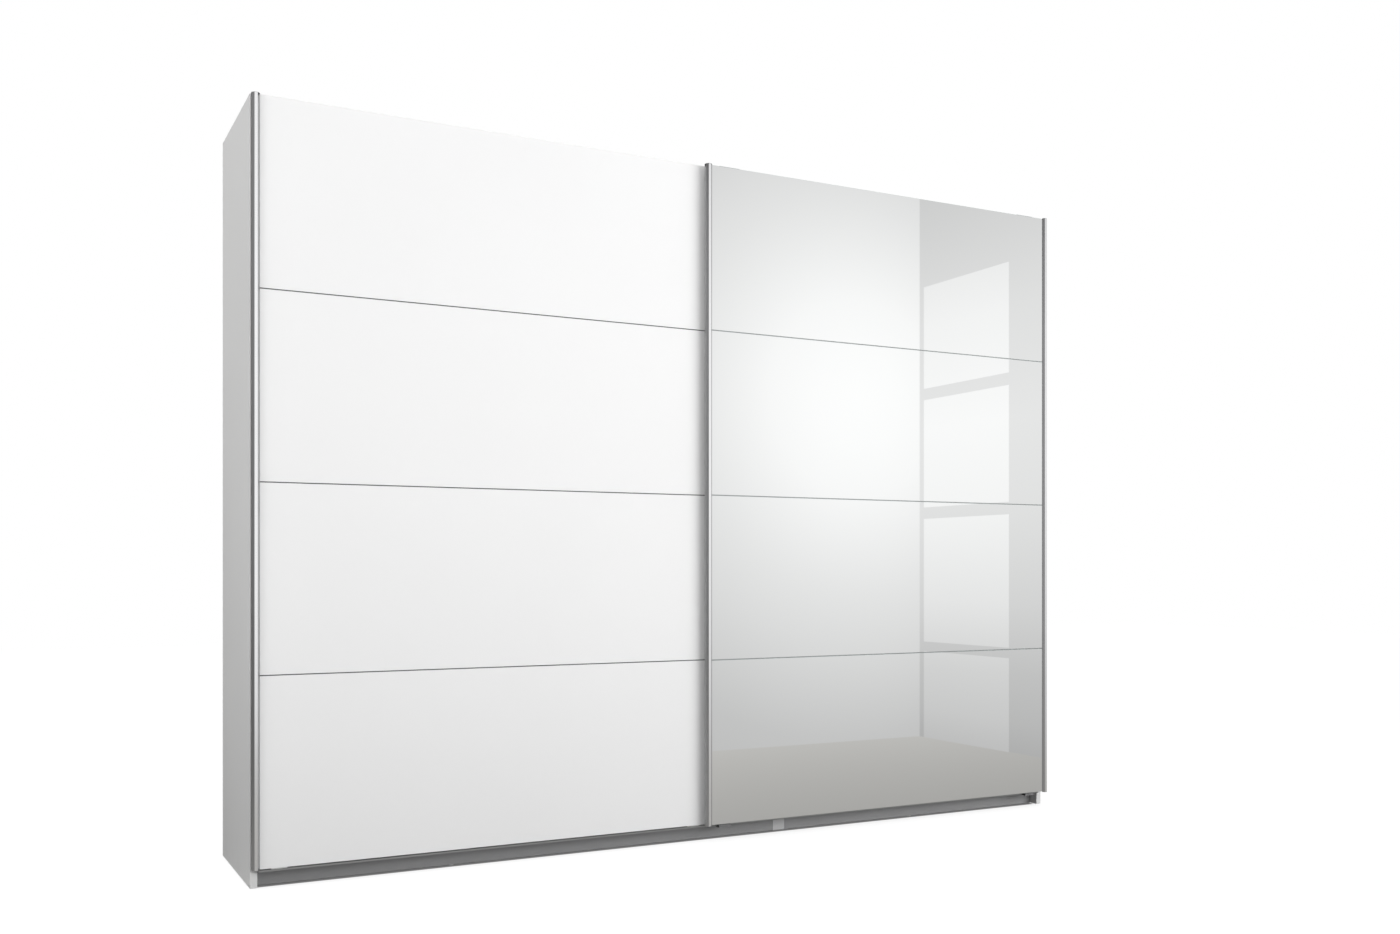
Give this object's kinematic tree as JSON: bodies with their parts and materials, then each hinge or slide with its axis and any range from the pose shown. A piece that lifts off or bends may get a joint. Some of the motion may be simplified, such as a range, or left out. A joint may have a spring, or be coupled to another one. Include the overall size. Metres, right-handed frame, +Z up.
{
  "type": "sliding door wardrobe",
  "caption": "Wide wardrobe with a white sliding door and a mirrored sliding door that hang in front of the carcass, upright aluminium handles and a recessed plinth.",
  "frame": {"origin": "floor level, under the middle of the wardrobe's width and depth", "axes": "+X to the right along the width seen from the front, the doors face -Y and +Y points at the wall, +Z up"},
  "size_m": [2.7, 0.6, 2.1739],
  "materials": {
    "white_board": "white melamine faced board, fine satin texture",
    "back_board": "white lacquered thin hardboard, satin",
    "plinth_board": "dark grey melamine faced board, satin",
    "plinth_clip": "light grey moulded plastic, satin",
    "rail_aluminium": "mill finish extruded aluminium",
    "rod_aluminium": "satin anodised tube",
    "zinc_steel": "bright zinc plated steel",
    "nylon": "natural nylon, satin",
    "stop_rubber": "black rubber, matt",
    "black_steel": "steel with a black powder coat",
    "door_white": "alpine white door board, satin",
    "handle_aluminium": "satin anodised aluminium, brushed along its length",
    "trim_aluminium": "satin anodised aluminium strip",
    "mirror_glass": "polished silvered mirror glass"
  },
  "bodies": {
    "carcass": {"side_panel_left": "white_board", "side_panel_right": "white_board", "partition_panel": "white_board", "top_board_left": "white_board", "top_board_right": "white_board", "bottom_board_left": "white_board", "bottom_board_right": "white_board", "shelf_left": "white_board", "shelf_right": "white_board", "back_panel_left_outer": "back_board", "back_panel_left_inner": "back_board", "back_panel_right_inner": "back_board", "back_panel_right_outer": "back_board", "back_joint_strips": "back_board", "plinth_left": "plinth_board", "plinth_right": "plinth_board", "rear_plinth_boards": "plinth_board", "plinth_joint_clip": "plinth_clip", "running_rail": "rail_aluminium", "guide_rail": "rail_aluminium", "clothes_rod_left": "rod_aluminium", "clothes_rod_right": "rod_aluminium", "board_screws": "zinc_steel", "shelf_pins": "zinc_steel", "rod_hangers": "zinc_steel", "cam_locks": "zinc_steel", "cam_bolts": "zinc_steel", "wall_brackets": "zinc_steel", "rod_flanges": "nylon", "floor_glides": "nylon", "track_stops": "stop_rubber"},
    "left_door": {"left_carriage_brackets": "zinc_steel", "left_door_screws": "zinc_steel", "left_axles": "zinc_steel", "left_guides": "nylon", "left_panel_top": "door_white", "left_panel_upper": "door_white", "left_panel_lower": "door_white", "left_panel_bottom": "door_white", "left_handle_outer": "handle_aluminium", "left_handle_inner": "handle_aluminium", "left_handle_caps": "handle_aluminium", "left_trim_strips": "trim_aluminium"},
    "right_door": {"mirror_backing": "white_board", "right_carriage_brackets": "zinc_steel", "right_door_screws": "zinc_steel", "right_axles": "zinc_steel", "right_guides": "black_steel", "right_handle_outer": "handle_aluminium", "right_handle_inner": "handle_aluminium", "right_handle_caps": "handle_aluminium", "right_trim_strips": "trim_aluminium", "mirror_top": "mirror_glass", "mirror_upper": "mirror_glass", "mirror_lower": "mirror_glass", "mirror_bottom": "mirror_glass"},
    "left_roller_outer_body": {"left_roller_outer": "nylon"},
    "left_roller_inner_body": {"left_roller_inner": "nylon"},
    "right_roller_inner_body": {"right_roller_inner": "nylon"},
    "right_roller_outer_body": {"right_roller_outer": "nylon"}
  },
  "joints": [
    {"name": "left_door_slide", "type": "slide", "parent": "carcass", "child": "left_door", "axis": [1, 0, 0], "range_m": [0, 1.2975]},
    {"name": "right_door_slide", "type": "slide", "parent": "carcass", "child": "right_door", "axis": [-1, 0, 0], "range_m": [0, 1.2975]},
    {"name": "left_roller_outer_spin", "type": "hinge", "parent": "left_door", "child": "left_roller_outer_body", "pos_m": [-1.2575, -0.229, 2.1473], "axis": [0, 1, 0], "range_deg": [0, 4649]},
    {"name": "left_roller_inner_spin", "type": "hinge", "parent": "left_door", "child": "left_roller_inner_body", "pos_m": [-0.07, -0.229, 2.1473], "axis": [0, 1, 0], "range_deg": [0, 4649]},
    {"name": "right_roller_inner_spin", "type": "hinge", "parent": "right_door", "child": "right_roller_inner_body", "pos_m": [0.07, -0.202, 2.1473], "axis": [0, -1, 0], "range_deg": [0, 4649]},
    {"name": "right_roller_outer_spin", "type": "hinge", "parent": "right_door", "child": "right_roller_outer_body", "pos_m": [1.2575, -0.202, 2.1473], "axis": [0, -1, 0], "range_deg": [0, 4649]}
  ],
  "couplings": [
    {"joint": "left_roller_outer_spin", "follows": "left_door_slide", "rad_per_m": 62.5},
    {"joint": "left_roller_inner_spin", "follows": "left_door_slide", "rad_per_m": 62.5},
    {"joint": "right_roller_inner_spin", "follows": "right_door_slide", "rad_per_m": 62.5},
    {"joint": "right_roller_outer_spin", "follows": "right_door_slide", "rad_per_m": 62.5}
  ]
}
